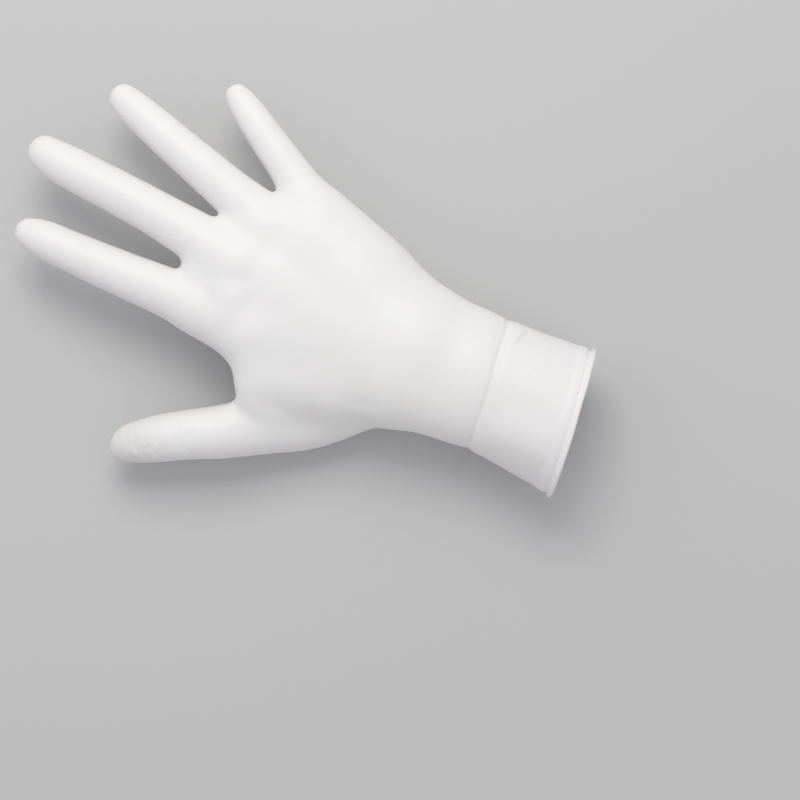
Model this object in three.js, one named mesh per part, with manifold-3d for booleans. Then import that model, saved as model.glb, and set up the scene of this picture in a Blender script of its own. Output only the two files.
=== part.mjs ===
// Right-handed nitrile cleanroom glove, in the form that it has when worn: palm down, fingers spread.
// Millimetres. The origin is the middle of the wrist. x runs out of the cuff, y to the little finger's side,
// and z out of the back of the glove.
//
// The film is one solid. Its outer skin is where a distance function of the worn form is zero. The inner
// skin lies one wall thickness below it. A slanted plane opens the cuff, which ends in a rolled bead.

import * as THREE from 'three';
import { mergeVertices } from 'three/addons/utils/BufferGeometryUtils.js';
import Module from 'manifold-3d';

// Driving dimensions
const WALL = 1.0; // the real film is about 0.12; this is the least that stays sound as a faceted solid
const CUFF_END = 66.6; // from the wrist to the edge of the cuff, along the slanted axis
const CUFF_SLANT = THREE.MathUtils.degToRad(7.7); // the cuff is longer on the thumb's side
const DEPTH_RATIO = 0.94; // how deep a finger is for its width

const BEAD_RADIUS = 1.0;
const BEAD_PROUD = 0.25; // how far the middle of the bead lies outside the outer skin
const RIDGE_BEFORE_END = 4.0;
const RIDGE_HALF_WIDTH = 1.9;
const RIDGE_HEIGHT = 0.35;

const CREASE_BEFORE_END = 35.8;
const CREASE_DEPTH = 0.8;
const CREASE_RUN_IN = 4.0; // width of the slope on the wrist's side
const CREASE_RUN_OUT = 2.0; // width of the slope on the side of the cuff's edge

// Stations along each finger, from the wrist to the tip: the middle x, y, z and the half width r
const INDEX_FINGER = [
  { x: -6, y: -9, z: 1, r: 12.0 },
  { x: -44, y: -14.5, z: 2, r: 12.0 },
  { x: -76, y: -17.5, z: 1.5, r: 11.3 },
  { x: -98, y: -16.8, z: 1, r: 10.0 },
  { x: -118, y: -17.4, z: 1, r: 9.1 },
  { x: -139, y: -18.1, z: -0.5, r: 8.2 },
  { x: -153, y: -18.4, z: -2, r: 7.6 },
  { x: -159.8, y: -18.6, z: -3, r: 6.0 },
];
const MIDDLE_FINGER = [
  { x: -6, y: -1, z: 2, r: 12.0 },
  { x: -46, y: 1, z: 3.5, r: 12.0 },
  { x: -80, y: 5.3, z: 3, r: 11.5 },
  { x: -104, y: 8.6, z: 2, r: 9.7 },
  { x: -126, y: 10.4, z: 1.5, r: 8.9 },
  { x: -148, y: 11.5, z: 0, r: 8.5 },
  { x: -161, y: 12.2, z: -1.5, r: 8.0 },
  { x: -167.4, y: 13, z: -2.5, r: 7.0 },
];
const RING_FINGER = [
  { x: -6, y: 8, z: 2, r: 12.0 },
  { x: -44, y: 16, z: 2.5, r: 11.8 },
  { x: -74, y: 24.5, z: 1.5, r: 10.9 },
  { x: -95, y: 30.2, z: 1, r: 9.0 },
  { x: -114, y: 35.6, z: 0.5, r: 8.3 },
  { x: -133, y: 41, z: -1, r: 7.7 },
  { x: -143.5, y: 44.1, z: -2.3, r: 7.0 },
  { x: -148.2, y: 45.6, z: -3, r: 6.0 },
];
const LITTLE_FINGER = [
  { x: -6, y: 15, z: 0, r: 11.5 },
  { x: -36, y: 27.5, z: 0.5, r: 11.8 },
  { x: -62, y: 38.3, z: -0.5, r: 10.4 },
  { x: -76, y: 47.2, z: -1, r: 8.0 },
  { x: -87, y: 53.6, z: -1.5, r: 7.2 },
  { x: -98, y: 60, z: -3, r: 6.6 },
  { x: -104.5, y: 63.8, z: -4.5, r: 6.0 },
  { x: -108, y: 65.8, z: -5.3, r: 5.0 },
];
const THUMB = [
  { x: -8, y: -16.6, z: -9, r: 12.0 },
  { x: -26, y: -36.4, z: -15.0, r: 12.4 },
  { x: -44, y: -48.6, z: -12.0, r: 11.7 },
  { x: -58, y: -58.0, z: -8.5, r: 10.8 },
  { x: -69.3, y: -64.7, z: -8.5, r: 10.0 },
  { x: -80.6, y: -71.9, z: -9.3, r: 9.3 },
  { x: -88.2, y: -77.0, z: -10.2, r: 7.8 },
  { x: -90.8, y: -79.8, z: -10.7, r: 5.8 },
];

// Stations across the roots of the fingers, and along the fleshy pads and webs, with the same columns
const FINGER_WEB = [
  { x: -88, y: -18, z: 0, r: 8.0 },
  { x: -91.5, y: -3.5, z: 2.2, r: 7.6 },
  { x: -90, y: 8, z: 2.4, r: 7.6 },
  { x: -84, y: 19.8, z: 2.0, r: 7.2 },
  { x: -74, y: 27, z: 1.5, r: 7.2 },
  { x: -62, y: 33.5, z: 0.5, r: 6.9 },
];
const KNUCKLE_RIDGE = [
  { x: -77, y: -12, z: 3.4, r: 8.6 },
  { x: -79, y: 5, z: 4.4, r: 8.6 },
  { x: -74, y: 22, z: 3.4, r: 8.2 },
  { x: -63, y: 35, z: 1.6, r: 7.6 },
];
const THUMB_PAD = [
  { x: -10, y: -14, z: -8, r: 11.0 },
  { x: -26, y: -24, z: -10.5, r: 13.5 },
  { x: -44, y: -32, z: -9.5, r: 11.0 },
];
const HEEL_PAD = [
  { x: -9, y: 16, z: -8, r: 10.5 },
  { x: -28, y: 23.5, z: -8, r: 13.5 },
  { x: -54, y: 29, z: -4.5, r: 11.5 },
];
const THUMB_WEB = [
  { x: -26, y: -22, z: -2.0, r: 12.0 },
  { x: -46, y: -28, z: 0.5, r: 10.0 },
  { x: -54, y: -34, z: 0.5, r: 6.0 },
];
const THUMB_WEB_EDGE = [
  { x: -64, y: -20, z: 1, r: 8.0 },
  { x: -56, y: -31, z: 1.5, r: 4.2 },
  { x: -47, y: -41, z: -7.5, r: 5.5 },
];

// Sections of the wrist and cuff: x, the middle y, and half of the width and of the depth
const WRIST_AND_CUFF = [
  { x: -34, y: 2, width: 20, depth: 9 },
  { x: -18, y: 1.4, width: 25.5, depth: 15 },
  { x: 0, y: 1.5, width: 28.2, depth: 19 },
  { x: 20, y: 3.2, width: 27.6, depth: 20 },
  { x: 35, y: 4.3, width: 27.0, depth: 20.5 },
  { x: 57, y: 4.4, width: 28.5, depth: 22.5 },
  { x: 80, y: 3.8, width: 30.2, depth: 24.5 },
];

// How softly neighbouring forms run into each other
const BLEND = {
  fingers: 2.6,
  knuckles: 16,
  fingerWeb: 4.0,
  ridge: 7,
  pads: 16,
  thumb: 6,
  thumbBase: 16,
  web: 10,
  wrist: 9,
};
// Where the softness changes from the fingers' to the knuckles', and from the thumb's to its base's. Both are
// ranges of x, and the first moves with y, because the roots of the fingers lie on a slanted line.
const KNUCKLE_RANGE = { from: -91, to: -68, slant: 0.33 };
const THUMB_BASE_RANGE = { from: -60, to: -30 };

// The grid on which the skin is meshed: long cells along the glove, and planes that follow the crease
const GRID = {
  x: { from: -182, to: 86, step: 7.9 },
  y: { from: -94, to: 84, step: 5.0 },
  z: { from: -34.5, to: 35.5, step: 5.0 },
};
const CREASE_PLANES = [-4.8, -1.3, 0.7, 2.9]; // offsets from the bottom of the crease
const SLIDE_ROUNDS = 4; // how often a vertex is slid onto the skin
const SLIDE_LEAST_SLOPE = 0.5; // keeps a slide short where two forms meet and the slope is small
const SLOPE_STEP = 0.05;
const RING_STEPS = 40;
const RING_SIDES = 6;
const RING_HALVINGS = 24;
const BLOCK_SIZE = 200; // of the block that cuts the cuff off

const NITRILE_WHITE = new THREE.Color().setRGB(0.925, 0.92, 0.91, THREE.SRGBColorSpace);

const SUBDIVISIONS = 3; // finer stations between two rows of a table
const FAR = 1e9;

// A smooth curve through the rows of a table, as more rows with the same columns
function smoothRows(rows) {
  const columns = Object.keys(rows[0]);
  const last = rows.length - 1;
  const slope = (i, c) => {
    const before = Math.max(i - 1, 0);
    const after = Math.min(i + 1, last);
    return (rows[after][c] - rows[before][c]) / (after - before);
  };
  const fine = [];
  for (let i = 0; i < last; i++) {
    for (let step = 0; step < SUBDIVISIONS; step++) {
      const t = step / SUBDIVISIONS;
      const row = {};
      for (const c of columns) row[c] = hermite(rows[i][c], slope(i, c), rows[i + 1][c], slope(i + 1, c), t);
      fine.push(row);
    }
  }
  fine.push(rows[last]);
  return fine;
}

function hermite(a, slopeA, b, slopeB, t) {
  const t2 = t * t;
  const t3 = t2 * t;
  return (2 * t3 - 3 * t2 + 1) * a + (t3 - 2 * t2 + t) * slopeA + (3 * t2 - 2 * t3) * b + (t3 - t2) * slopeB;
}

const smoothMin = (a, b, soft) => {
  const h = THREE.MathUtils.clamp(0.5 + (0.5 * (b - a)) / soft, 0, 1);
  return b + (a - b) * h - soft * h * (1 - h);
};

// Distance to a chain of round cones through the stations of a limb
function limb(table) {
  const rows = smoothRows(table);
  return (x, y, z) => {
    let nearest = FAR;
    for (let i = 1; i < rows.length; i++) {
      const a = rows[i - 1];
      const b = rows[i];
      const run = { x: b.x - a.x, y: b.y - a.y, z: b.z - a.z };
      const square = run.x * run.x + run.y * run.y + run.z * run.z;
      const along = ((x - a.x) * run.x + (y - a.y) * run.y + (z - a.z) * run.z) / square;
      const t = THREE.MathUtils.clamp(along, 0, 1);
      const away = Math.hypot(x - a.x - t * run.x, y - a.y - t * run.y, z - a.z - t * run.z);
      nearest = Math.min(nearest, away - a.r - t * (b.r - a.r));
    }
    return nearest;
  };
}

// Distance to a tube of elliptical sections, near enough for a slender ellipse
function sleeve(table) {
  const rows = smoothRows(table);
  const first = rows[0];
  const last = rows[rows.length - 1];
  return (x, y, z) => {
    let i = 1;
    while (i < rows.length - 1 && rows[i].x < x) i++;
    const a = rows[i - 1];
    const b = rows[i];
    const t = THREE.MathUtils.clamp((x - a.x) / (b.x - a.x), 0, 1);
    const width = THREE.MathUtils.lerp(a.width, b.width, t);
    const depth = THREE.MathUtils.lerp(a.depth, b.depth, t);
    const across = y - THREE.MathUtils.lerp(a.y, b.y, t);
    const size = Math.hypot(across / width, z / depth);
    const steepness = Math.hypot(across / width ** 2, z / depth ** 2) / Math.max(size, Number.EPSILON);
    const side = (size - 1) / Math.max(steepness, 1 / Math.max(width, depth));
    return Math.max(side, first.x - x, x - last.x);
  };
}

const index = limb(INDEX_FINGER);
const middle = limb(MIDDLE_FINGER);
const ring = limb(RING_FINGER);
const little = limb(LITTLE_FINGER);
const thumb = limb(THUMB);
const fingerWeb = limb(FINGER_WEB);
const knuckleRidge = limb(KNUCKLE_RIDGE);
const thumbPad = limb(THUMB_PAD);
const heelPad = limb(HEEL_PAD);
const thumbWeb = limb(THUMB_WEB);
const thumbWebEdge = limb(THUMB_WEB_EDGE);
const wristAndCuff = sleeve(WRIST_AND_CUFF);

const slant = { cos: Math.cos(CUFF_SLANT), sin: Math.sin(CUFF_SLANT) };
const alongCuff = (x, y) => x * slant.cos + y * slant.sin;

// The ring crease: a soft slope down from the wrist, a sharp bottom and a quick rise to the cuff
function creaseDepth(x, y) {
  const past = alongCuff(x, y) - (CUFF_END - CREASE_BEFORE_END);
  const width = past < 0 ? CREASE_RUN_IN : CREASE_RUN_OUT;
  const t = Math.max(1 - Math.abs(past) / width, 0);
  return CREASE_DEPTH * t * t;
}

// Distance from the outer skin: negative inside the glove
function skin(x, y, zTrue) {
  const z = zTrue / DEPTH_RATIO;
  const acrossRoots = x - KNUCKLE_RANGE.slant * y;
  const knuckle = THREE.MathUtils.smoothstep(acrossRoots, KNUCKLE_RANGE.from, KNUCKLE_RANGE.to);
  const fingerBlend = THREE.MathUtils.lerp(BLEND.fingers, BLEND.knuckles, knuckle);
  let form = index(x, y, z);
  for (const finger of [middle, ring, little]) form = smoothMin(form, finger(x, y, z), fingerBlend);
  form = smoothMin(form, fingerWeb(x, y, z), BLEND.fingerWeb);
  form = smoothMin(form, knuckleRidge(x, y, z), BLEND.ridge);
  form = smoothMin(form, heelPad(x, y, z), BLEND.pads);
  const base = THREE.MathUtils.smoothstep(x, THUMB_BASE_RANGE.from, THUMB_BASE_RANGE.to);
  const thumbBlend = THREE.MathUtils.lerp(BLEND.thumb, BLEND.thumbBase, base);
  form = smoothMin(form, smoothMin(thumb(x, y, z), thumbPad(x, y, z), BLEND.web), thumbBlend);
  form = smoothMin(form, thumbWeb(x, y, z), BLEND.web);
  form = smoothMin(form, thumbWebEdge(x, y, z), BLEND.web);
  form = smoothMin(form, wristAndCuff(x, y, z), BLEND.wrist);
  return form + creaseDepth(x, y);
}

// The direction out of the skin, from differences over a short step
function outward(p) {
  const e = SLOPE_STEP;
  return new THREE.Vector3(
    skin(p.x + e, p.y, p.z) - skin(p.x - e, p.y, p.z),
    skin(p.x, p.y + e, p.z) - skin(p.x, p.y - e, p.z),
    skin(p.x, p.y, p.z + e) - skin(p.x, p.y, p.z - e)
  ).divideScalar(2 * e);
}

function slideOntoSkin(p) {
  for (let round = 0; round < SLIDE_ROUNDS; round++) {
    const g = outward(p);
    p.addScaledVector(g, -skin(p.x, p.y, p.z) / Math.max(g.lengthSq(), SLIDE_LEAST_SLOPE ** 2));
  }
  return p;
}

function planes({ from, to, step }) {
  const count = Math.round((to - from) / step);
  return Array.from({ length: count + 1 }, (_, i) => from + i * step);
}

// Planes along the glove, with those nearest the crease moved to where it bends
function planesAlongGlove() {
  const bottom = (CUFF_END - CREASE_BEFORE_END) / slant.cos;
  const clear = GRID.x.step / 2;
  const near = CREASE_PLANES.map((offset) => bottom + offset);
  const rest = planes(GRID.x).filter((x) => x < near[0] - clear || x > near[near.length - 1] + clear);
  return [...rest, ...near].sort((a, b) => a - b);
}

// One vertex in each grid cell that the skin passes through, and two triangles for each grid edge that the
// skin crosses. The grid is sheared, so that its planes lie parallel to the edge of the cuff.
function meshSkin() {
  const xs = planesAlongGlove();
  const ys = planes(GRID.y);
  const zs = planes(GRID.z);
  const shear = Math.tan(CUFF_SLANT);
  const place = (i, j, k) => new THREE.Vector3(xs[i] - shear * ys[j], ys[j], zs[k]);
  const id = (i, j, k) => (i * ys.length + j) * zs.length + k;

  // The last plane counts as outside, which closes the skin well past the edge of the cuff
  const value = new Map();
  for (let i = 0; i < xs.length; i++)
    for (let j = 0; j < ys.length; j++)
      for (let k = 0; k < zs.length; k++) {
        const p = place(i, j, k);
        value.set(id(i, j, k), i < xs.length - 1 ? skin(p.x, p.y, p.z) : FAR);
      }

  const points = [];
  const cell = new Map();
  const corners = [0, 1, 2, 3, 4, 5, 6, 7].map((n) => [(n >> 2) & 1, (n >> 1) & 1, n & 1]);
  for (let i = 0; i + 1 < xs.length; i++)
    for (let j = 0; j + 1 < ys.length; j++)
      for (let k = 0; k + 1 < zs.length; k++) {
        const middleOfCell = crossing(i, j, k);
        if (middleOfCell) {
          cell.set(id(i, j, k), points.length);
          points.push(slideOntoSkin(middleOfCell));
        }
      }

  function crossing(i, j, k) {
    const sum = new THREE.Vector3();
    let count = 0;
    for (const a of corners)
      for (const b of corners) {
        const edge = b[0] - a[0] + b[1] - a[1] + b[2] - a[2] === 1 && a.every((v, n) => b[n] >= v);
        if (!edge) continue;
        const va = value.get(id(i + a[0], j + a[1], k + a[2]));
        const vb = value.get(id(i + b[0], j + b[1], k + b[2]));
        if (va < 0 === vb < 0) continue;
        const pa = place(i + a[0], j + a[1], k + a[2]);
        const pb = place(i + b[0], j + b[1], k + b[2]);
        sum.add(pa.lerp(pb, va / (va - vb)));
        count++;
      }
    return count > 0 ? sum.divideScalar(count) : null;
  }

  const triangles = [];
  for (let i = 1; i + 1 < xs.length; i++)
    for (let j = 1; j + 1 < ys.length; j++)
      for (let k = 1; k + 1 < zs.length; k++) {
        const here = value.get(id(i, j, k)) < 0;
        addQuad(here, value.get(id(i + 1, j, k)) < 0, [i, j, k], [0, 1, 0], [0, 0, 1]);
        addQuad(here, value.get(id(i, j + 1, k)) < 0, [i, j, k], [0, 0, 1], [1, 0, 0]);
        addQuad(here, value.get(id(i, j, k + 1)) < 0, [i, j, k], [1, 0, 0], [0, 1, 0]);
      }

  function addQuad(here, next, [i, j, k], u, v) {
    if (here === next) return;
    const shifted = (n, a, b) => [i, j, k][n] - a * u[n] - b * v[n];
    const at = (a, b) => cell.get(id(shifted(0, a, b), shifted(1, a, b), shifted(2, a, b)));
    const quad = [at(1, 1), at(0, 1), at(0, 0), at(1, 0)];
    if (!here) quad.reverse();
    const [a, b, c, d] = quad;
    const flat = points[a].distanceTo(points[c]) < points[b].distanceTo(points[d]);
    triangles.push(...(flat ? [a, b, c, a, c, d] : [b, c, d, b, d, a]));
  }
  return { points, triangles };
}

// A ring of the given half width and half height that follows the skin round the cuff
function cuffRing(beforeEnd, proud, halfWidth, halfHeight) {
  const axis = new THREE.Vector3(slant.cos, slant.sin, 0);
  const side = new THREE.Vector3(-slant.sin, slant.cos, 0);
  const up = new THREE.Vector3(0, 0, 1);
  const centre = axis.clone().multiplyScalar(CUFF_END - beforeEnd);
  const points = [];
  for (let step = 0; step < RING_STEPS; step++) {
    const turn = (2 * Math.PI * step) / RING_STEPS;
    const out = side.clone().multiplyScalar(Math.cos(turn)).addScaledVector(up, Math.sin(turn));
    let near = 0;
    let far = 2 * WRIST_AND_CUFF[WRIST_AND_CUFF.length - 1].width;
    for (let halving = 0; halving < RING_HALVINGS; halving++) {
      const half = (near + far) / 2;
      const p = centre.clone().addScaledVector(out, half);
      if (skin(p.x, p.y, p.z) < 0) near = half;
      else far = half;
    }
    for (let corner = 0; corner < RING_SIDES; corner++) {
      const angle = (2 * Math.PI * (corner + 0.5)) / RING_SIDES;
      const p = centre.clone().addScaledVector(out, near + proud + halfHeight * Math.cos(angle));
      points.push(p.addScaledVector(axis, halfWidth * Math.sin(angle)));
    }
  }
  const triangles = [];
  for (let step = 0; step < RING_STEPS; step++)
    for (let corner = 0; corner < RING_SIDES; corner++) {
      const nextStep = (step + 1) % RING_STEPS;
      const nextCorner = (corner + 1) % RING_SIDES;
      const a = step * RING_SIDES + corner;
      const b = nextStep * RING_SIDES + corner;
      const c = nextStep * RING_SIDES + nextCorner;
      const d = step * RING_SIDES + nextCorner;
      triangles.push(a, b, c, a, c, d);
    }
  return { points, triangles };
}

const wasm = await Module();
wasm.setup();

function solid({ points, triangles }) {
  const vertProperties = new Float32Array(points.flatMap((p) => [p.x, p.y, p.z]));
  const triVerts = new Uint32Array(triangles);
  return new wasm.Manifold(new wasm.Mesh({ numProp: 3, vertProperties, triVerts }));
}

// A block that takes everything past the edge of the cuff
function blockPastCuff() {
  const block = new THREE.BoxGeometry(BLOCK_SIZE, BLOCK_SIZE, BLOCK_SIZE);
  block.translate(CUFF_END + BLOCK_SIZE / 2, 0, 0);
  block.rotateZ(CUFF_SLANT);
  block.deleteAttribute('normal');
  block.deleteAttribute('uv');
  const merged = mergeVertices(block);
  const place = merged.getAttribute('position');
  const corner = (_, i) => new THREE.Vector3().fromBufferAttribute(place, i);
  const points = Array.from({ length: place.count }, corner);
  return solid({ points, triangles: Array.from(merged.index.array) });
}

function glove() {
  const outer = meshSkin();
  const sunk = outer.points.map((p) => p.clone().addScaledVector(outward(p).normalize(), -WALL));
  const inner = { points: sunk, triangles: outer.triangles };
  const film = solid(outer).subtract(solid(inner)).subtract(blockPastCuff());
  const bead = solid(cuffRing(0, BEAD_PROUD - WALL / 2, BEAD_RADIUS, BEAD_RADIUS));
  const ridge = solid(cuffRing(RIDGE_BEFORE_END, -WALL / 2, RIDGE_HALF_WIDTH, WALL / 2 + RIDGE_HEIGHT));
  const mesh = film.add(bead).add(ridge).getMesh();

  const geometry = new THREE.BufferGeometry();
  geometry.setAttribute('position', new THREE.BufferAttribute(mesh.vertProperties, 3));
  geometry.setIndex(new THREE.BufferAttribute(mesh.triVerts, 1));
  geometry.computeVertexNormals();
  const nitrile = new THREE.MeshStandardMaterial({ color: NITRILE_WHITE, roughness: 0.42, metalness: 0 });
  const piece = new THREE.Mesh(geometry, nitrile);
  piece.name = 'glove';
  return piece;
}

const group = new THREE.Group();
group.add(glove());
export default group;
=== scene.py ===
import math

import bpy
import numpy as np
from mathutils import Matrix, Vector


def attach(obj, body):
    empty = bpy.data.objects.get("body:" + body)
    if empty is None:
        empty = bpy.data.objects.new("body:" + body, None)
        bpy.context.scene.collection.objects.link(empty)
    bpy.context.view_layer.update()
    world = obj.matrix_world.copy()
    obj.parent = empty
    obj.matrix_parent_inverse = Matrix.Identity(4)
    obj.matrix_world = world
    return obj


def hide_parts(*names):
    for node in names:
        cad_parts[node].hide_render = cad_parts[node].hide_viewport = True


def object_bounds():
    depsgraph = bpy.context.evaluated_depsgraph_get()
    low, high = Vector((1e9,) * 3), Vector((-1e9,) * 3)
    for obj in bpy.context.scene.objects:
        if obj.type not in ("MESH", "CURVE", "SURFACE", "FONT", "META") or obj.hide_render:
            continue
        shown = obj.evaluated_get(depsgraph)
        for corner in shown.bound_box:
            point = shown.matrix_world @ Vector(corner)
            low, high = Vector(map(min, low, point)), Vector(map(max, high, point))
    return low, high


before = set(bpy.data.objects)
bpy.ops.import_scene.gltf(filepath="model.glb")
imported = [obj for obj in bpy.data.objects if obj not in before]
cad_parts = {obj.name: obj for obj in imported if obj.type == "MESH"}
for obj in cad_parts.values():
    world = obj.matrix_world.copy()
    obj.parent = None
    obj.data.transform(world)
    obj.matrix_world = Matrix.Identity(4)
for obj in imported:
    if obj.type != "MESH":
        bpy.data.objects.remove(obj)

# A right-handed nitrile glove, palm down, in the form that it has when worn. Lengths are millimetres until
# the mesh is made. x runs out of the cuff, y to the little finger's side, and z out of the back.

MM = 0.001
cad_low, cad_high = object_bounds()

# Driving dimensions, which agree with the frame
CUFF_END = 66.6
CUFF_SLANT = math.radians(7.7)
DEPTH_RATIO = 0.94
FILM = 0.3  # wall drawn for the film

# Where the photograph was taken from
PIXELS = 800
MM_PER_PIXEL = 0.396
WRIST_PIXEL = (414, 361)
ROLL = math.radians(25)
CAMERA_HEIGHT = 950
SENSOR_WIDTH = 36
FLOOR_GAP = 1.5

# Stations along each finger, from the wrist to the tip: the middle x, y, z and the half width
FINGERS = {
    "index": [
        (-6, -9, 1, 12.0), (-44, -14.5, 2, 12.0), (-76, -17.5, 1.5, 11.3), (-98, -16.8, 1, 10.0),
        (-118, -17.4, 1, 9.1), (-139, -18.1, -0.5, 8.2), (-153, -18.4, -2, 7.6), (-159.8, -18.6, -3, 6.0),
    ],
    "middle": [
        (-6, -1, 2, 12.0), (-46, 1, 3.5, 12.0), (-80, 5.3, 3, 11.5), (-104, 8.6, 2, 9.7),
        (-126, 10.4, 1.5, 8.9), (-148, 11.5, 0, 8.5), (-161, 12.2, -1.5, 8.0), (-167.4, 13, -2.5, 7.0),
    ],
    "ring": [
        (-6, 8, 2, 12.0), (-44, 16, 2.5, 11.8), (-74, 24.5, 1.5, 10.9), (-95, 30.2, 1, 9.0),
        (-114, 35.6, 0.5, 8.3), (-133, 41, -1, 7.7), (-143.5, 44.1, -2.3, 7.0), (-148.2, 45.6, -3, 6.0),
    ],
    "little": [
        (-6, 15, 0, 11.5), (-36, 27.5, 0.5, 11.8), (-62, 38.3, -0.5, 10.4), (-76, 47.2, -1, 8.0),
        (-87, 53.6, -1.5, 7.2), (-98, 60, -3, 6.6), (-104.5, 63.8, -4.5, 6.0), (-108, 65.8, -5.3, 5.0),
    ],
    "thumb": [
        (-8, -16.6, -9, 12.0), (-26, -36.4, -15.0, 12.4), (-44, -48.6, -12.0, 11.7),
        (-58, -58.0, -8.5, 10.8), (-69.3, -64.7, -8.5, 10.0), (-80.6, -71.9, -9.3, 9.3),
        (-88.2, -77.0, -10.2, 7.8), (-90.8, -79.8, -10.7, 5.8),
    ],
}

# Stations across the roots of the fingers, and along the fleshy pads and webs, with the same columns
FINGER_WEB = [
    (-88, -18, 0, 8.0), (-91.5, -3.5, 2.2, 7.6), (-90, 8, 2.4, 7.6), (-84, 19.8, 2.0, 7.2),
    (-74, 27, 1.5, 7.2), (-62, 33.5, 0.5, 6.9),
]
KNUCKLE_RIDGE = [(-77, -12, 3.4, 8.6), (-79, 5, 4.4, 8.6), (-74, 22, 3.4, 8.2), (-63, 35, 1.6, 7.6)]
THUMB_PAD = [(-10, -14, -8, 11.0), (-26, -24, -10.5, 13.5), (-44, -32, -9.5, 11.0)]
HEEL_PAD = [(-9, 16, -8, 10.5), (-28, 23.5, -8, 13.5), (-54, 29, -4.5, 11.5)]
THUMB_WEB = [(-26, -22, -2.0, 12.0), (-46, -28, 0.5, 10.0), (-54, -34, 0.5, 6.0)]
THUMB_WEB_EDGE = [(-64, -20, 1, 8.0), (-56, -31, 1.5, 4.2), (-47, -41, -7.5, 5.5)]

# Sections of the wrist and cuff: x, the middle y, half of the width and half of the depth
WRIST_AND_CUFF = [
    (-34, 2, 20, 9), (-18, 1.4, 25.5, 15), (0, 1.5, 28.2, 19), (20, 3.2, 27.6, 20),
    (35, 4.3, 27.0, 20.5), (57, 4.4, 28.5, 22.5), (80, 3.8, 30.2, 24.5),
]

# How softly neighbouring forms run into each other
BLEND_FINGERS = 2.6
BLEND_KNUCKLES = 16
BLEND_FINGER_WEB = 4.0
BLEND_RIDGE = 7
BLEND_PADS = 16
BLEND_THUMB = 6
BLEND_THUMB_BASE = 16
BLEND_WEB = 10
BLEND_WRIST = 9

# Where along x the softness changes. The roots of the fingers lie on a slanted line, so the first range
# moves with y.
KNUCKLE_RANGE = (-91, -68)
KNUCKLE_SLANT = 0.33
THUMB_BASE_RANGE = (-60, -30)

# How many straight parts the curve between two stations is made of
FINGER_PARTS = 3
WEB_PARTS = 8

# Grid of the skin, and how far it is refined
GRID_START = -180  # past the longest fingertip
GRID_Y = (-94, 84)
GRID_Z = (-34, 34)
CELL = 1.9
FINE_CELL = 0.5
FINE_BEFORE_CREASE = 5.5
FINE_AFTER_CREASE = 5.0
FINE_BEFORE_RIDGE = 3.5
ROUGH_STEP = 3  # cells between the nodes of the first, rough look at the distance
NEAR_SKIN = 3.5 * CELL
BEND_TOLERANCE = 0.02
SHORTEST_EDGE = 0.4
REFINEMENTS = 3
CROWDING_ROUNDS = 4
END_LAYER = 0.05
LEAST_SLOPE = 0.5  # keeps a slide short where two forms meet and the slope is small

# Rolled bead
BEAD_RADIUS = 0.85
BEAD_PROUD = 0.2
BEAD_STEPS = 260
BEAD_SIDES = 16
BEAD_HALVINGS = 30

# Waves round the bead: height, how many, and where they start
BEAD_THICKNESS_WAVES = [(0.035, 3, 0.7), (0.02, 8, 1.9)]  # heights as a share of its radius
BEAD_DRIFT_WAVES = [(0.16, 2, 2.1), (0.08, 7, 0.4)]

FAR = 1e9
TINY = 1e-12


# Curves and distances

def smooth_rows(rows, parts=FINGER_PARTS):
    """More rows with the same columns, on a smooth curve through the given ones."""
    rows = np.array(rows, float)
    slopes = np.gradient(rows, axis=0)
    fine = []
    for a, b, slope_a, slope_b in zip(rows[:-1], rows[1:], slopes[:-1], slopes[1:]):
        for t in np.arange(parts) / parts:
            start = (2 * t**3 - 3 * t**2 + 1) * a + (t**3 - 2 * t**2 + t) * slope_a
            fine.append(start + (3 * t**2 - 2 * t**3) * b + (t**3 - t**2) * slope_b)
    fine.append(rows[-1])
    return np.array(fine)


def smooth_min(a, b, soft):
    h = np.clip(0.5 + 0.5 * (b - a) / soft, 0, 1)
    return b + (a - b) * h - soft * h * (1 - h)


def smooth_step(x, low, high):
    t = np.clip((x - low) / (high - low), 0, 1)
    return t * t * (3 - 2 * t)


def bell(x, half_width):
    return np.exp(-((x / half_width) ** 2))


def round_waves(turn, rows):
    """Sum of sine waves round the cuff, from rows of height, how many, and where they start."""
    return sum(height * np.sin(count * turn + start) for height, count, start in rows)


def limb(table, parts=FINGER_PARTS):
    """Distance to a chain of round cones through the stations of a limb."""
    rows = smooth_rows(table, parts)

    def distance(p):
        nearest = np.full(len(p), FAR)
        for a, b in zip(rows[:-1], rows[1:]):
            run = b[:3] - a[:3]
            t = np.clip((p - a[:3]) @ run / (run @ run), 0, 1)
            away = p - a[:3] - t[:, None] * run
            nearest = np.minimum(nearest, np.sqrt((away * away).sum(1)) - a[3] - t * (b[3] - a[3]))
        return nearest

    return distance


def sleeve(table):
    """Distance to a tube of elliptical sections, near enough for a slender ellipse."""
    rows = smooth_rows(table)

    def distance(p):
        x, z = p[:, 0], p[:, 2]
        across = p[:, 1] - np.interp(x, rows[:, 0], rows[:, 1])
        width = np.interp(x, rows[:, 0], rows[:, 2])
        depth = np.interp(x, rows[:, 0], rows[:, 3])
        size = np.hypot(across / width, z / depth)
        steepness = np.hypot(across / width**2, z / depth**2) / np.maximum(size, TINY)
        side = (size - 1) / np.maximum(steepness, 1 / np.maximum(width, depth))
        return np.maximum(side, rows[0, 0] - x)

    return distance


finger_forms = {name: limb(table) for name, table in FINGERS.items()}
finger_web = limb(FINGER_WEB, WEB_PARTS)
knuckle_ridge = limb(KNUCKLE_RIDGE, WEB_PARTS)
thumb_pad = limb(THUMB_PAD, WEB_PARTS)
heel_pad = limb(HEEL_PAD, WEB_PARTS)
thumb_web = limb(THUMB_WEB, WEB_PARTS)
thumb_web_edge = limb(THUMB_WEB_EDGE, WEB_PARTS)
wrist_and_cuff = sleeve(WRIST_AND_CUFF)

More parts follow.
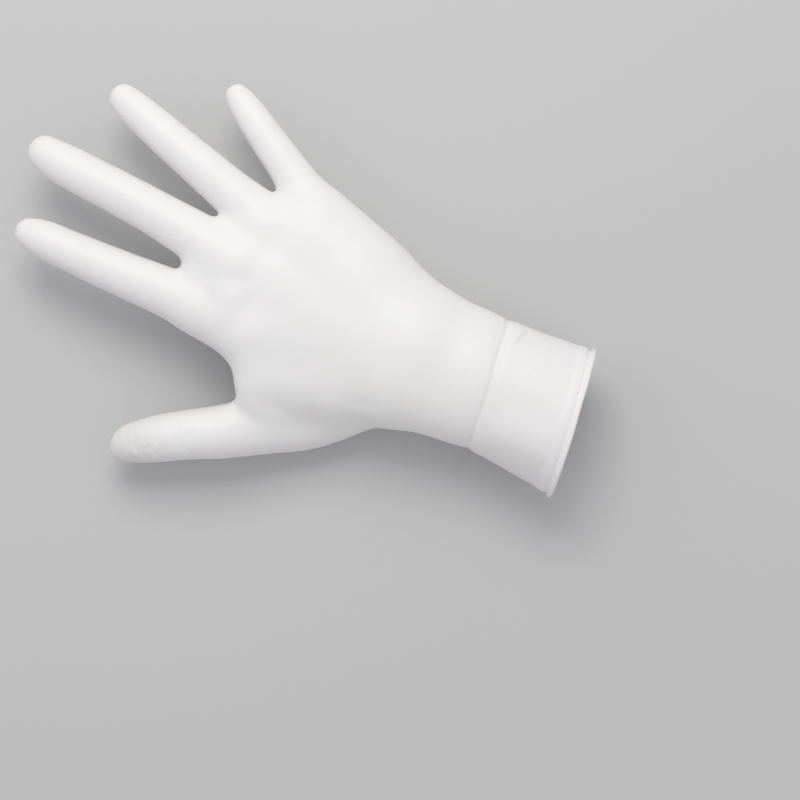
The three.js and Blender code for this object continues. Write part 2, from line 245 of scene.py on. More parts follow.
CUFF_AXIS = np.array([math.cos(CUFF_SLANT), math.sin(CUFF_SLANT), 0])


def worn_form(place):
    """Distance from the smooth form that the film is worn in: negative inside."""
    p = place / np.array([1, 1, DEPTH_RATIO])
    knuckle = smooth_step(p[:, 0] - KNUCKLE_SLANT * p[:, 1], *KNUCKLE_RANGE)
    finger_blend = BLEND_FINGERS + (BLEND_KNUCKLES - BLEND_FINGERS) * knuckle
    form = finger_forms["index"](p)
    for name in ("middle", "ring", "little"):
        form = smooth_min(form, finger_forms[name](p), finger_blend)
    form = smooth_min(form, finger_web(p), BLEND_FINGER_WEB)
    form = smooth_min(form, knuckle_ridge(p), BLEND_RIDGE)
    form = smooth_min(form, heel_pad(p), BLEND_PADS)
    base = smooth_step(p[:, 0], *THUMB_BASE_RANGE)
    thumb = smooth_min(finger_forms["thumb"](p), thumb_pad(p), BLEND_WEB)
    form = smooth_min(form, thumb, BLEND_THUMB + (BLEND_THUMB_BASE - BLEND_THUMB) * base)
    form = smooth_min(form, thumb_web(p), BLEND_WEB)
    form = smooth_min(form, thumb_web_edge(p), BLEND_WEB)
    return smooth_min(form, wrist_and_cuff(p), BLEND_WRIST)


def outward(p, step=0.05):
    """Gradient of the form's distance at each point."""
    shifts = np.eye(3) * step
    return np.stack([worn_form(p + s) - worn_form(p - s) for s in shifts], 1) / (2 * step)


def slide_onto_skin(p, at_edge, rounds=3):
    """Moves points onto the skin. Those at the edge of the cuff stay in its slanted plane."""
    p = p.copy()
    for _ in range(rounds):
        p[at_edge] += (CUFF_END - p[at_edge] @ CUFF_AXIS)[:, None] * CUFF_AXIS
        g = outward(p)
        g[at_edge] -= (g[at_edge] @ CUFF_AXIS)[:, None] * CUFF_AXIS
        p -= g * (worn_form(p) / np.maximum((g * g).sum(1), LEAST_SLOPE**2))[:, None]
    g = outward(p)
    return p, g / np.linalg.norm(g, axis=1)[:, None]


# Slack of the film: a soft irregular swell, larger where the cuff is loose
SWELL_HEIGHT = 0.09
SWELL_HEIGHT_CUFF = 0.15  # added where the cuff is loose
SWELL_LENGTHS = (18, 40)
RIPPLE_HEIGHT = 0.03
RIPPLE_LENGTHS = (7, 13)
LOOSE_RANGE = (20, 60)
EDGE_STRETCH = 6  # the bead holds the film taut over this length
EDGE_TAUTNESS = 0.7  # share of the slack that it takes up
SWELL_SEED = 11
RIPPLE_SEED = 12


def waves(p, seed, lengths, count=9):
    """Irregular swell between about -1 and 1, from sine waves in seeded directions."""
    draw = np.random.default_rng(seed)
    total = np.zeros(len(p))
    for _ in range(count):
        way = draw.normal(size=3)
        way /= np.linalg.norm(way)
        total += np.sin(2 * np.pi * (p @ way) / draw.uniform(*lengths) + draw.uniform(0, 2 * np.pi))
    return total / math.sqrt(count)


def swell_height(p):
    loose = smooth_step(p[:, 0], *LOOSE_RANGE)
    swell = (SWELL_HEIGHT + SWELL_HEIGHT_CUFF * loose) * waves(p, SWELL_SEED, SWELL_LENGTHS)
    taut = smooth_step(p @ CUFF_AXIS, CUFF_END - EDGE_STRETCH, CUFF_END)
    ripple = RIPPLE_HEIGHT * waves(p, RIPPLE_SEED, RIPPLE_LENGTHS)
    return (swell + ripple) * (1 - EDGE_TAUTNESS * taut)


# The ring crease and the low ridge of the cuff, measured back from its edge
CREASE_BEFORE_END = 35.8
CREASE_DEPTH = 0.80
CREASE_RUN_IN = 7.0
CREASE_RUN_OUT = 4.5
CREASE_AT_SIDES = 0.5  # share of its depth that it keeps at the sides
CREASE_SHARPNESS = 1.7
CREASE_MIDDLE_Y = 4.3  # middle of the cuff there
GROOVE_DEPTH = 0.65
GROOVE_HALF_WIDTH = 1.2
LIP_HEIGHT = 0.06
LIP_AFTER_GROOVE = 3.6
LIP_HALF_WIDTH = 1.2
RIDGE_BEFORE_END = 3.9
RIDGE_HALF_WIDTH = 1.8
RIDGE_HEIGHT = 0.35
RIDGE_FLATNESS = 4  # 2 is a bell, and more is flatter on top
EDGE_GROOVE_BEFORE_END = 1.6
EDGE_GROOVE_HALF_WIDTH = 0.5
EDGE_GROOVE_DEPTH = 0.22

# Waves of the crease's line round the cuff: height, how many, and where they start
CREASE_WAVES = [(0.4, 1, -1.6), (0.35, 2, 0.6), (0.14, 5, 2.0), (0.05, 9, 0.3)]
CREASE_DEPTH_WAVES = [(0.15, 3, 1.0)]  # its height is a share of the depth


def crease_height(p):
    """Ring crease: a soft slope down from the wrist, a sharp groove, a quick rise and a low lip."""
    turn = np.arctan2(p[:, 2], p[:, 1] - CREASE_MIDDLE_Y)
    past = p @ CUFF_AXIS - (CUFF_END - CREASE_BEFORE_END) + round_waves(turn, CREASE_WAVES)
    t = np.maximum(1 - np.abs(past) / np.where(past < 0, CREASE_RUN_IN, CREASE_RUN_OUT), 0)
    share = CREASE_AT_SIDES + (1 - CREASE_AT_SIDES) * np.abs(np.sin(turn))
    slope = CREASE_DEPTH * (1 + round_waves(turn, CREASE_DEPTH_WAVES)) * t**CREASE_SHARPNESS
    groove = GROOVE_DEPTH * bell(past, GROOVE_HALF_WIDTH)
    lip = LIP_HEIGHT * bell(past - LIP_AFTER_GROOVE, LIP_HALF_WIDTH)
    return lip - share * (groove + slope)


def ridge_height(p):
    """Low ridge beside the bead, with a narrow groove between them."""
    before_end = CUFF_END - p @ CUFF_AXIS
    off = np.abs(before_end - RIDGE_BEFORE_END) / RIDGE_HALF_WIDTH
    ridge = RIDGE_HEIGHT * np.exp(-(off**RIDGE_FLATNESS))
    groove = EDGE_GROOVE_DEPTH * bell(before_end - EDGE_GROOVE_BEFORE_END, EDGE_GROOVE_HALF_WIDTH)
    return ridge - groove


# Folds of the film: both ends, sideways bow, half width, height, and the side that they are on, which is 1
# for the back
FOLDS = [
    # x, y, x, y, bow, half width, height, side
    (33.0, 21.8, 37.2, 30.4, 0.4, 0.8, -0.50, 1),
    (32.0, 23.5, 35.4, 31.0, 0.3, 0.9, 0.35, 1),
    (29.8, 18.5, 31.2, 27.0, 0.3, 0.7, -0.34, 1),
    (26.0, 18.0, 25.2, 28.5, 0.3, 0.8, -0.20, 1),
    (39.0, 10.0, 47.0, 27.0, -1.5, 1.8, 0.20, 1),
    (34.0, -6.0, 41.0, -20.0, 1.0, 1.6, 0.20, 1),
    (-18.0, -28.0, -2.0, -22.0, 1.2, 2.1, -0.15, 1),
    (-22.0, -31.0, 2.0, -25.5, 1.6, 2.2, 0.14, 1),
    # film that bridges a hollow, beside the thumb and between two knuckles, and stands off at the cuff
    (-64.0, -47.5, -26.0, -38.5, 0.0, 6.0, 1.35, 1),
    (-100.0, -5.0, -66.0, -8.0, 0.0, 5.0, 0.9, 1),
    (36.0, -10.0, 68.0, -8.0, 0.0, 8.0, 1.3, 1),
    # palm
    (-66.0, -27.0, -8.0, -7.0, 12.0, 1.7, -0.60, -1),
    (-67.0, -27.0, -34.0, 27.0, 6.0, 1.6, -0.45, -1),
    (-84.0, -4.0, -54.0, 46.0, -5.0, 1.6, -0.45, -1),
    (-94.0, -3.0, -76.0, -4.0, 1.0, 1.6, 0.25, -1),
    (-88.0, 20.0, -72.0, 15.5, 1.0, 1.6, 0.25, -1),
    (-78.0, 38.0, -62.0, 31.0, 1.0, 1.6, 0.25, -1),
    (2.0, -19.0, 4.0, 22.0, -2.0, 1.4, -0.45, -1),
    (7.0, -17.0, 9.5, 20.0, -1.6, 1.3, -0.30, -1),
    (13.0, -12.0, 15.0, 14.0, 1.4, 1.6, 0.22, -1),
]
# Where a fold rises and dies away, as shares of its length, and how squarely the skin has to face its side
FOLD_RISE = (-0.02, 0.3)
FOLD_FALL = (0.7, 1.02)
FOLD_FACING = (0.1, 0.55)


def fold_height(p, normal):
    """Each fold is a line that bows sideways and dies away at its ends, on the back or in the palm."""
    total = np.zeros(len(p))
    for x0, y0, x1, y1, bow, half_width, height, side in FOLDS:
        start, run = np.array([x0, y0]), np.array([x1 - x0, y1 - y0])
        length = np.hypot(*run)
        away = p[:, :2] - start
        t = away @ run / length**2
        off = (away @ np.array([-run[1], run[0]])) / length - bow * 4 * t * (1 - t)
        ends = smooth_step(t, *FOLD_RISE) * (1 - smooth_step(t, *FOLD_FALL))
        facing = smooth_step(side * normal[:, 2], *FOLD_FACING)
        total += height * bell(off, half_width) * ends * facing
    return total


# Fingers: distance back from the tip to the middle joint, to the end joint and to the crease at the root
JOINTS = {
    "index": (44, 22, 71),
    "middle": (50, 24, 78),
    "ring": (46, 23, 66),
    "little": (33, 17, 47),
    "thumb": (28, 28, 56),
}
FINGER_REACH = (-13, -10.5)  # a finger's own relief fades out at this distance from its middle
JOINT_HOLLOW = 0.40
JOINT_HOLLOW_HALF_WIDTH = 3.2
JOINT_CREASE = 0.20
JOINT_CREASE_HALF_WIDTH = 0.8
JOINT_SWELL = 0.16
JOINT_SWELL_HALF_WIDTH = 4.5
JOINT_WRINKLE = 0.10
JOINT_WRINKLE_LENGTHS = (3.5, 6)
JOINT_WRINKLE_SEED = 31
JOINT_WANDER = 0.6
JOINT_WANDER_LENGTHS = (9, 16)
JOINT_WANDER_SEED = 51
ROOT_CREASE = 0.40
ROOT_CREASE_HALF_WIDTH = 1.6
PALM_FACING = (0.0, 0.6)
BACK_FACING = (0.1, 0.7)

# Thin creases: their field is squeezed along the finger and stretched round it, and they come in patches
CRINKLE_SQUEEZE = (1.1, 0.45, 0.45)
CRINKLE_SHARPNESS = 0.32
PATCH_MIDDLE = 0.5
PATCH_CONTRAST = 0.7
PATCH_LENGTHS = (6, 11)

# Knuckles on the back: middle x and y
KNUCKLES = [(-77, -17.0), (-80, 4.5), (-74, 23.5), (-62, 37.0)]
KNUCKLE_HEIGHT = 0.25
KNUCKLE_LENGTH = 8.5
KNUCKLE_WIDTH = 6.5


def back_from_tip(p, table):
    """For each point, its distance back from the fingertip, and its distance from the finger's middle."""
    rows = smooth_rows(table)[::-1, :3]
    nearest = np.full(len(p), FAR)
    back = np.zeros(len(p))
    travelled = 0.0
    for a, b in zip(rows[:-1], rows[1:]):
        run = b - a
        length = np.linalg.norm(run)
        t = np.clip((p - a) @ run / length**2, 0, 1)
        away = np.linalg.norm(p - a - t[:, None] * run, axis=1)
        closer = away < nearest
        nearest = np.where(closer, away, nearest)
        back = np.where(closer, travelled + t * length, back)
        travelled += length
    return back, nearest


def crinkle(p, back, seed, lengths, sharpness=CRINKLE_SHARPNESS):
    """Thin creases of irregular course, mostly across the finger, as a depth between 0 and about 1."""
    field = waves(np.stack([back, p[:, 1], p[:, 2]], 1) * CRINKLE_SQUEEZE, seed, lengths)
    patches = np.clip(PATCH_MIDDLE + PATCH_CONTRAST * waves(p, seed + 1, PATCH_LENGTHS), 0, 1)
    return bell(field, sharpness) * patches


def finger_height(p, normal):
    """Pads and creases under each finger, fine wrinkles over its joints, and knuckles on the back."""
    total = np.zeros(len(p))
    palm_side = smooth_step(-normal[:, 2], *PALM_FACING)
    back_side = smooth_step(normal[:, 2], *BACK_FACING)
    for name, table in FINGERS.items():
        back, away = back_from_tip(p, table)
        own = smooth_step(-away, *FINGER_REACH)
        wrinkles = crinkle(p, back, JOINT_WRINKLE_SEED, JOINT_WRINKLE_LENGTHS)
        back += JOINT_WANDER * waves(p, JOINT_WANDER_SEED, JOINT_WANDER_LENGTHS)
        *joints, root = JOINTS[name]
        for joint in joints:
            under = JOINT_HOLLOW * bell(back - joint, JOINT_HOLLOW_HALF_WIDTH)
            under += JOINT_CREASE * bell(back - joint, JOINT_CREASE_HALF_WIDTH)
            over = (JOINT_SWELL - JOINT_WRINKLE * wrinkles) * bell(back - joint, JOINT_SWELL_HALF_WIDTH)
            total += own * (over * back_side - under * palm_side)
        total -= ROOT_CREASE * own * palm_side * bell(back - root, ROOT_CREASE_HALF_WIDTH)
    for x, y in KNUCKLES:
        spot = bell(p[:, 0] - x, KNUCKLE_LENGTH) * bell(p[:, 1] - y, KNUCKLE_WIDTH)
        total += KNUCKLE_HEIGHT * back_side * spot
    return total


# Loose film at the tip of the thumb: the stretch that it takes, back from the tip, and how it is puckered
PUCKER_RANGE = (1, 21)
PUCKER_RISE = 2
PUCKER_FADE = 7
PUCKER_CREASE = 0.30
PUCKER_SWELL = 0.13
PUCKER_SHARPNESS = 0.5
PUCKER_LENGTHS = (3.6, 6.5)
PUCKER_CREASE_SEED = 41
PUCKER_SWELL_SEED = 43
PLEAT_RANGE = (10, 20)
PLEAT_HEIGHT = 0.09
PLEAT_LENGTH = 1.7
PLEAT_FADE = 3
PLEAT_WANDER = 0.35
PLEAT_SEED = 47
THUMB_TOP_FACING = (-0.2, 0.35)
OUTER_WAY = np.array([0.6, -0.8, 0])  # to the thumb's outer side
OUTER_FACING = (-0.35, 0.35)


def thumb_tip_height(p, normal):
    """Loose film puckered into short irregular creases across the tip of the thumb, on its outer side."""
    back, away = back_from_tip(p, FINGERS["thumb"])
    first, last = PUCKER_RANGE
    window = smooth_step(back, first, first + PUCKER_RISE)
    window *= 1 - smooth_step(back, last - PUCKER_FADE, last)
    on_thumb = smooth_step(-away, *FINGER_REACH) * smooth_step(normal[:, 2], *THUMB_TOP_FACING)
    outer_side = smooth_step(normal @ OUTER_WAY, *OUTER_FACING)
    creases = PUCKER_CREASE * crinkle(p, back, PUCKER_CREASE_SEED, PUCKER_LENGTHS, PUCKER_SHARPNESS)
    puckers = window * (PUCKER_SWELL * waves(p, PUCKER_SWELL_SEED, PUCKER_LENGTHS) - creases)
    start, end = PLEAT_RANGE
    stretch = smooth_step(back, start, start + PLEAT_FADE) * (1 - smooth_step(back, end - PLEAT_FADE, end))
    bent = back + waves(p, PLEAT_SEED, PUCKER_LENGTHS) * PLEAT_WANDER
    pleats = stretch * PLEAT_HEIGHT * np.sin(2 * np.pi * bent / PLEAT_LENGTH)
    return on_thumb * outer_side * (puckers + pleats)


def film_height(p, normal):
    """How far the film stands out of the smooth form."""
    relief = swell_height(p) + crease_height(p) + ridge_height(p)
    return relief + fold_height(p, normal) + finger_height(p, normal) + thumb_tip_height(p, normal)


# Meshing

def spaced(low, high, step):
    return np.linspace(low, high, max(int(round((high - low) / step)), 1) + 1)


def planes_along_glove():
    """Grid planes from the fingertips to the edge of the cuff, close together where the cuff is creased."""
    to_plane = 1 / math.cos(CUFF_SLANT)
    end = CUFF_END * to_plane
    crease = end - CREASE_BEFORE_END * to_plane
    ridge = end - RIDGE_BEFORE_END * to_plane
    stretches = [
        spaced(GRID_START, crease - FINE_BEFORE_CREASE, CELL),
        spaced(crease - FINE_BEFORE_CREASE, crease + FINE_AFTER_CREASE, FINE_CELL),
        spaced(crease + FINE_AFTER_CREASE, ridge - FINE_BEFORE_RIDGE, CELL),
        spaced(ridge - FINE_BEFORE_RIDGE, end - END_LAYER, FINE_CELL),
        [end + END_LAYER],
    ]
    return np.unique(np.concatenate(stretches).round(6))


def sample(xs, ys, zs):
    """The form's distance at each grid node. It is exact near the skin and interpolated elsewhere."""
    shear = math.tan(CUFF_SLANT)
    x, y, z = np.meshgrid(xs, ys, zs, indexing="ij")
    place = np.stack([x - shear * y, y, z], -1)
    picks = [np.unique(np.append(np.arange(0, len(v), ROUGH_STEP), len(v) - 1)) for v in (xs, ys, zs)]
    rough = worn_form(place[np.ix_(*picks)].reshape(-1, 3)).reshape([len(v) for v in picks])
    for axis, (pick, v) in enumerate(zip(picks, (xs, ys, zs))):
        spread = np.interp(np.arange(len(v)), pick, np.arange(len(pick)))
        low = np.minimum(spread.astype(int), len(pick) - 2)
        part = (spread - low).reshape([-1 if i == axis else 1 for i in range(3)])
        rough = np.take(rough, low, axis) * (1 - part) + np.take(rough, low + 1, axis) * part
    near = np.abs(rough) < NEAR_SKIN
    rough[near] = worn_form(place[near])
    return place, rough


def surface_net(place, value):
    """One point in each cell that the skin goes through, and two triangles for each grid edge it crosses."""
    inside = value < 0
    size = np.array(value.shape) - 1
    corner = [(i, j, k) for i in (0, 1) for j in (0, 1) for k in (0, 1)]

    def at(array, c):
        return array[c[0]:c[0] + size[0], c[1]:c[1] + size[1], c[2]:c[2] + size[2]]

    total = sum(at(inside, c).astype(int) for c in corner)
    used = (total > 0) & (total < 8)
    number = np.full(size, -1)
    number[used] = np.arange(used.sum())
    sums = np.zeros((used.sum(), 3))
    counts = np.zeros(used.sum())
    for a in corner:
        for b in corner:
            if sum(b) - sum(a) != 1 or any(v > w for v, w in zip(a, b)):
                continue
            va, vb = at(value, a)[used], at(value, b)[used]
            cut = (va < 0) != (vb < 0)
            t = np.where(cut, va / np.where(va == vb, 1, va - vb), 0)[:, None]
            sums += np.where(cut[:, None], at(place, a)[used] * (1 - t) + at(place, b)[used] * t, 0)
            counts += cut
    points = sums / counts[:, None]

    quads = []
    for axis in range(3):
        u, v = (axis + 1) % 3, (axis + 2) % 3
        ahead = np.take(inside, range(1, inside.shape[axis]), axis)
        here = np.take(inside, range(inside.shape[axis] - 1), axis)
        i, j, k = np.nonzero(here != ahead)
        cell = np.stack([i, j, k], 1)
        full = (cell[:, u] > 0) & (cell[:, v] > 0) & (cell[:, u] < size[u]) & (cell[:, v] < size[v])
        cell = cell[full]
        flip = ~here[cell[:, 0], cell[:, 1], cell[:, 2]]
        ring = []
        for du, dv in ((1, 1), (0, 1), (0, 0), (1, 0)):
            c = cell.copy()
            c[:, u] -= du
            c[:, v] -= dv
            ring.append(number[c[:, 0], c[:, 1], c[:, 2]])
        quad = np.stack(ring, 1)
        quad[flip] = quad[flip][:, ::-1]
        quads.append(quad)
    quads = np.concatenate(quads)
    a, b, c, d = (points[quads[:, n]] for n in range(4))
    short = np.linalg.norm(a - c, axis=1) < np.linalg.norm(b - d, axis=1)
    first = np.where(short[:, None], quads[:, [0, 1, 2]], quads[:, [1, 2, 3]])
    second = np.where(short[:, None], quads[:, [0, 2, 3]], quads[:, [1, 3, 0]])
    at_edge = np.nonzero(used)[0] == size[0] - 1
    return points, np.concatenate([first, second]), at_edge


def edges_of(triangles):
    """Each edge once, and for each triangle the numbers of its three edges: 0 to 1, 1 to 2 and 2 to 0."""
    pairs = np.sort(triangles[:, [[0, 1], [1, 2], [2, 0]]].reshape(-1, 2), axis=1)
    edges, which = np.unique(pairs, axis=0, return_inverse=True)
    return edges, which.reshape(-1, 3)


def split(triangles, which, middle):
    """Splits triangles at the edges that have a middle point, into two, three or four."""
    mids = middle[which]
    marks = mids >= 0
    count = marks.sum(1)
    out = [triangles[count == 0]]
    for n in range(3):
        turn = [(n + m) % 3 for m in range(3)]
        t, m = triangles[:, turn], mids[:, turn]
        one = (count == 1) & marks[:, n]
        a, b, c = t[one].T
        ab = m[one, 0]
        out += [np.stack([a, ab, c], 1), np.stack([ab, b, c], 1)]
        two = (count == 2) & ~marks[:, (n + 2) % 3]
        a, b, c = t[two].T
        ab, bc = m[two, 0], m[two, 1]
        out += [np.stack([ab, b, bc], 1), np.stack([a, ab, bc], 1), np.stack([a, bc, c], 1)]
    a, b, c = triangles[count == 3].T
    ab, bc, ca = mids[count == 3].T
    out += [np.stack(v, 1) for v in ((a, ab, ca), (ab, b, bc), (ca, bc, c), (ab, bc, ca))]
    return np.concatenate(out)


def refine(points, normals, heights, triangles, at_edge):
    """Splits the edges along which the film bends too much, and slides the new points onto the skin."""
    edges, which = edges_of(triangles)
    a, b = edges.T
    middle = (points[a] + points[b]) / 2
    way = normals[a] + normals[b]
    way /= np.linalg.norm(way, axis=1)[:, None]
    length = np.linalg.norm(points[a] - points[b], axis=1)
    arc_height = length * np.linalg.norm(normals[a] - normals[b], axis=1) / 8  # chord times angle, over 8
    bend = np.abs(film_height(middle, way) - (heights[a] + heights[b]) / 2) + arc_height
    chosen = (bend > BEND_TOLERANCE) & (length > 2 * SHORTEST_EDGE)
    fixed = at_edge[a] | at_edge[b]
    for _ in range(CROWDING_ROUNDS):
        crowded = chosen[which].sum(1) >= 2
        chosen[which[crowded].ravel()] = True
        chosen &= ~fixed
    number = np.full(len(edges), -1)
    number[chosen] = len(points) + np.arange(chosen.sum())
    new, new_normals = slide_onto_skin(middle[chosen], np.zeros(chosen.sum(), bool), rounds=2)
    return (
        np.concatenate([points, new]),
        np.concatenate([normals, new_normals]),
        np.concatenate([heights, film_height(new, new_normals)]),
        split(triangles, which, number),
        np.concatenate([at_edge, np.zeros(len(new), bool)]),
    )


def boundary(triangles):
    """Directed edges that have a triangle on one side only."""
    directed = triangles[:, [[0, 1], [1, 2], [2, 0]]].reshape(-1, 2)
    code = directed[:, 0] * (directed.max() + 1) + directed[:, 1]
    back = directed[:, 1] * (directed.max() + 1) + directed[:, 0]
    return directed[~np.isin(code, back)]


def film_shell():
    """The film as a closed shell: a fine outer skin, an inner skin, and the edge that joins them."""
    xs = planes_along_glove()
    ys = spaced(*GRID_Y, CELL)
    zs = spaced(*GRID_Z, CELL)
    place, value = sample(xs, ys, zs)
    points, triangles, at_edge = surface_net(place, value)
    points, normals = slide_onto_skin(points, at_edge)
    heights = film_height(points, normals)
    inner_points = points + normals * (heights - FILM)[:, None]
    inner_triangles = triangles[:, ::-1]
    for _ in range(REFINEMENTS):
        points, normals, heights, triangles, at_edge = refine(points, normals, heights, triangles, at_edge)
    outer_points = points + normals * heights[:, None]
    shift = len(outer_points)
    a, b = boundary(triangles).T
    rim = np.concatenate([np.stack([b, a, a + shift], 1), np.stack([b, a + shift, b + shift], 1)])
    every = np.concatenate([triangles, inner_triangles + shift, rim])
    return np.concatenate([outer_points, inner_points]), every


def bead_ring():
    """The film's end, rolled outward into a bead that follows the edge of the cuff."""
    turns = 2 * np.pi * np.arange(BEAD_STEPS) / BEAD_STEPS
    side = np.array([-CUFF_AXIS[1], CUFF_AXIS[0], 0])
    out = np.cos(turns)[:, None] * side + np.sin(turns)[:, None] * np.array([0, 0, 1])
    near, far = np.zeros(BEAD_STEPS), np.full(BEAD_STEPS, 2.0 * WRIST_AND_CUFF[-1][2])
    for _ in range(BEAD_HALVINGS):
        half = (near + far) / 2
        inside = worn_form(CUFF_END * CUFF_AXIS + half[:, None] * out) < 0
        near, far = np.where(inside, half, near), np.where(inside, far, half)
    radius = BEAD_RADIUS * (1 + round_waves(turns, BEAD_THICKNESS_WAVES))
    drift = round_waves(turns, BEAD_DRIFT_WAVES)
    points = []
    for n in range(BEAD_SIDES):
        angle = 2 * np.pi * n / BEAD_SIDES
        distance = near + BEAD_PROUD + radius * math.cos(angle)
        along = CUFF_END + drift + radius * math.sin(angle)
        points.append(along[:, None] * CUFF_AXIS + distance[:, None] * out)
    points = np.stack(points, 1).reshape(-1, 3)
    step, corner = np.meshgrid(np.arange(BEAD_STEPS), np.arange(BEAD_SIDES), indexing="ij")
    next_step, next_corner = (step + 1) % BEAD_STEPS, (corner + 1) % BEAD_SIDES
    ring = [
        step * BEAD_SIDES + corner,
        next_step * BEAD_SIDES + corner,
        next_step * BEAD_SIDES + next_corner,
        step * BEAD_SIDES + next_corner,
    ]
    return points, np.stack([v.ravel() for v in ring], 1)


def make_piece(name, points, faces, material):
    mesh = bpy.data.meshes.new(name)
    mesh.from_pydata((points * MM).tolist(), [], faces.tolist())
    mesh.update()
    mesh.shade_smooth()
    mesh.materials.append(material)
    piece = bpy.data.objects.new(name, mesh)
    bpy.context.scene.collection.objects.link(piece)
    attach(piece, "root")
    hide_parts("glove")
    return piece


# Material

# Colour along the cuff's axis: millimetres from the wrist, then red, green and blue
TINTS = [
    (-175, 0.880, 0.874, 0.868),
    (-110, 0.884, 0.880, 0.874),
    (-60, 0.885, 0.884, 0.878),
    (0, 0.880, 0.885, 0.862),
    (27, 0.876, 0.876, 0.860),
    (33, 0.874, 0.858, 0.856),
    (60.6, 0.872, 0.856, 0.858),
    (61.6, 0.876, 0.880, 0.890),
    (66, 0.890, 0.884, 0.872),
]
CLOUD_TINT = (0.86, 0.80, 0.78, 1)  # where the film is thinly stretched
CLOUD_SHARE = 0.24
TIP_TINT = (0.74, 0.67, 0.66, 1)  # over the tip of the thumb
TIP_SPOT = (-88, -79, -6)
TIP_REACH = (3, 19)
TIP_SHARE = 0.5

# Noise of the film, each with its scale for metres and how many octaves it has
CLOUDS = (50, 3)
SHEEN = (160, 2)
PEBBLES = (1500, 2)
CLOUD_RANGE = (0.35, 0.75)
ROUGHNESS = (0.42, 0.56)
PEBBLE_STRENGTH = 0.16
PEBBLE_HEIGHT = 0.2
NITRILE_IOR = 1.5
NITRILE_SPECULAR = 0.42


def nitrile():
    """Off-white nitrile: a satin film with faint clouding, a finely pebbled skin and a warmer cuff."""
    material = bpy.data.materials.new("nitrile")
    material.use_nodes = True
    nodes, links = material.node_tree.nodes, material.node_tree.links
    shader = nodes["Principled BSDF"]
    place = nodes.new("ShaderNodeTexCoord").outputs["Object"]

    def noise(scale, detail):
        made = nodes.new("ShaderNodeTexNoise")
        made.inputs["Scale"].default_value = scale
        made.inputs["Detail"].default_value = detail
        links.new(place, made.inputs["Vector"])
        return made.outputs["Fac"]

    def mapped(value, from_low, from_high, low, high):
        made = nodes.new("ShaderNodeMapRange")
        made.inputs["From Min"].default_value = from_low
        made.inputs["From Max"].default_value = from_high
        made.inputs["To Min"].default_value = low
        made.inputs["To Max"].default_value = high
        links.new(value, made.inputs["Value"])
        return made.outputs["Result"]

    along = nodes.new("ShaderNodeVectorMath")
    along.operation = "DOT_PRODUCT"
    along.inputs[1].default_value = CUFF_AXIS
    links.new(place, along.inputs[0])
    first, last = TINTS[0][0], TINTS[-1][0]
    tint = nodes.new("ShaderNodeValToRGB")
    ramp = tint.color_ramp
    while len(ramp.elements) < len(TINTS):
        ramp.elements.new(1.0)
    for element, (x, *colour) in zip(ramp.elements, TINTS):
        element.position = (x - first) / (last - first)
        element.color = (*colour, 1)
    links.new(mapped(along.outputs["Value"], first * MM, last * MM, 0, 1), tint.inputs["Fac"])

    def mixed(colour, other, share):
        made = nodes.new("ShaderNodeMix")
        made.data_type = "RGBA"
        first_colour, second_colour = (i for i in made.inputs if i.type == "RGBA")
        second_colour.default_value = other
        links.new(share, made.inputs["Factor"])
        links.new(colour, first_colour)
        return next(o for o in made.outputs if o.type == "RGBA")

    cloudiness = mapped(noise(*CLOUDS), *CLOUD_RANGE, 0, CLOUD_SHARE)
    clouded = mixed(tint.outputs["Color"], CLOUD_TINT, cloudiness)
    from_tip = nodes.new("ShaderNodeVectorMath")
    from_tip.operation = "DISTANCE"
    from_tip.inputs[1].default_value = [v * MM for v in TIP_SPOT]
    links.new(place, from_tip.inputs[0])
    near_tip = mapped(from_tip.outputs["Value"], TIP_REACH[0] * MM, TIP_REACH[1] * MM, TIP_SHARE, 0)
    links.new(mixed(clouded, TIP_TINT, near_tip), shader.inputs["Base Color"])

    links.new(mapped(noise(*SHEEN), 0, 1, *ROUGHNESS), shader.inputs["Roughness"])

    bump = nodes.new("ShaderNodeBump")
    bump.inputs["Strength"].default_value = PEBBLE_STRENGTH
    bump.inputs["Distance"].default_value = PEBBLE_HEIGHT * MM
    links.new(noise(*PEBBLES), bump.inputs["Height"])
    links.new(bump.outputs["Normal"], shader.inputs["Normal"])

    shader.inputs["IOR"].default_value = NITRILE_IOR
    shader.inputs["Specular IOR Level"].default_value = NITRILE_SPECULAR
    return material


# Surroundings

def photo_axes():
    """The picture's right and up, as directions on the floor."""
    right = np.array([math.cos(ROLL), math.sin(ROLL), 0])
    up = np.array([-math.sin(ROLL), math.cos(ROLL), 0])
    return right, up


def picture_middle():
    """The point below the middle of the picture, from where the wrist is in it."""
    right, up = photo_axes()
    across = (PIXELS / 2 - WRIST_PIXEL[0]) * MM_PER_PIXEL
    down = (PIXELS / 2 - WRIST_PIXEL[1]) * MM_PER_PIXEL
    return across * right - down * up


def make_camera():
    data = bpy.data.cameras.new("camera")
    data.sensor_width = SENSOR_WIDTH
    data.lens = SENSOR_WIDTH * CAMERA_HEIGHT / (PIXELS * MM_PER_PIXEL)
    camera = bpy.data.objects.new("camera", data)
    camera.location = (picture_middle() + np.array([0, 0, CAMERA_HEIGHT])) * MM
    camera.rotation_euler = (0, 0, ROLL)
    bpy.context.scene.collection.objects.link(camera)
    bpy.context.scene.camera = camera


FLOOR_HALF = 3.0
FLOOR_TONES = (0.600, 0.615)
FLOOR_GRAIN = 30
FLOOR_ROUGHNESS = 0.9


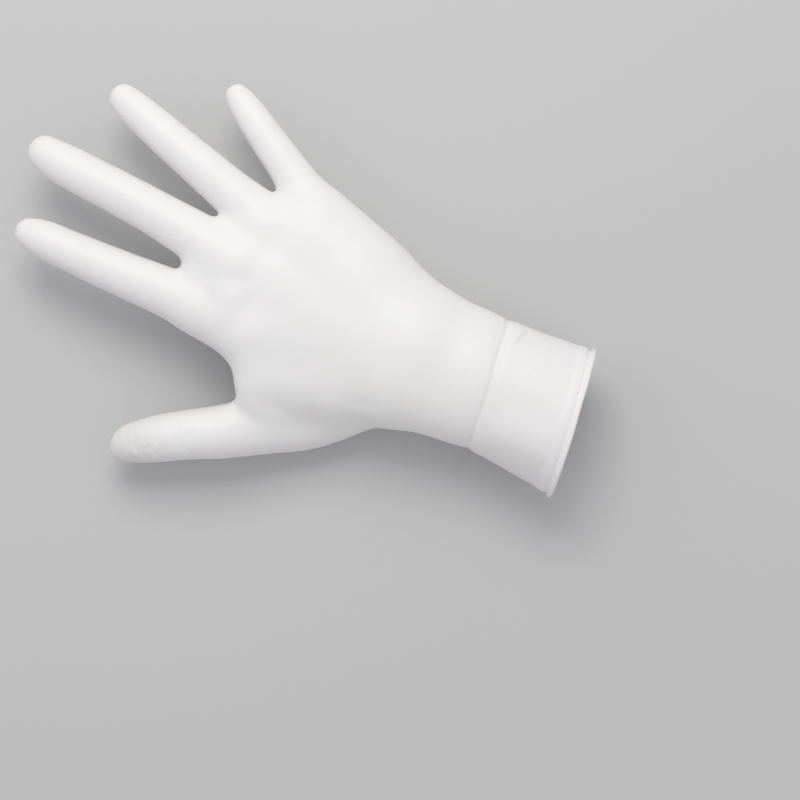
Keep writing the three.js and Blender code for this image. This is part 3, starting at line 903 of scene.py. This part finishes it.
def floor_material():
    material = bpy.data.materials.new("floor_paper")
    material.use_nodes = True
    nodes, links = material.node_tree.nodes, material.node_tree.links
    shader = nodes["Principled BSDF"]
    grain = nodes.new("ShaderNodeTexNoise")
    grain.inputs["Scale"].default_value = FLOOR_GRAIN
    ramp = nodes.new("ShaderNodeValToRGB")
    for element, tone in zip(ramp.color_ramp.elements, FLOOR_TONES):
        element.color = (tone, tone, tone, 1)
    links.new(grain.outputs["Fac"], ramp.inputs["Fac"])
    links.new(ramp.outputs["Color"], shader.inputs["Base Color"])
    shader.inputs["Roughness"].default_value = FLOOR_ROUGHNESS
    return material


def make_floor():
    z = cad_low.z - FLOOR_GAP * MM
    mesh = bpy.data.meshes.new("floor")
    signs = ((-1, -1), (1, -1), (1, 1), (-1, 1))
    mesh.from_pydata([(x * FLOOR_HALF, y * FLOOR_HALF, z) for x, y in signs], [], [(0, 1, 2, 3)])
    mesh.materials.append(floor_material())
    floor = bpy.data.objects.new("floor", mesh)
    bpy.context.scene.collection.objects.link(floor)


# Soft light: distance to the picture's right and up, height, size in metres, watts and colour
LIGHTS = {
    "key": (-0.12, 0.62, 0.88, 0.6, 5.3, (1.0, 1.0, 0.95)),
}
LIGHT_TARGET = np.array([-0.05, 0.0, 0.0])
SKY_COLOUR = (0.972, 0.957, 1.0, 1)
SKY_STRENGTH = 0.60


def make_lights():
    right, up = photo_axes()
    for name, (across, toward, height, size, watts, colour) in LIGHTS.items():
        data = bpy.data.lights.new(name, "AREA")
        data.size = size
        data.energy = watts
        data.color = colour
        light = bpy.data.objects.new(name, data)
        place = across * right + toward * up + np.array([0, 0, height])
        away = place - LIGHT_TARGET
        lean = math.atan2(math.hypot(away[0], away[1]), away[2])
        light.location = place
        light.rotation_euler = (lean, 0, math.atan2(away[1], away[0]) + math.pi / 2)
        bpy.context.scene.collection.objects.link(light)
    world = bpy.data.worlds.new("studio")
    world.use_nodes = True
    world.node_tree.nodes["Background"].inputs["Color"].default_value = SKY_COLOUR
    world.node_tree.nodes["Background"].inputs["Strength"].default_value = SKY_STRENGTH
    bpy.context.scene.world = world


material = nitrile()
make_piece("glove_film", *film_shell(), material)
make_piece("cuff_bead", *bead_ring(), material)
make_floor()
make_lights()
make_camera()
bpy.context.scene.view_settings.view_transform = "Standard"
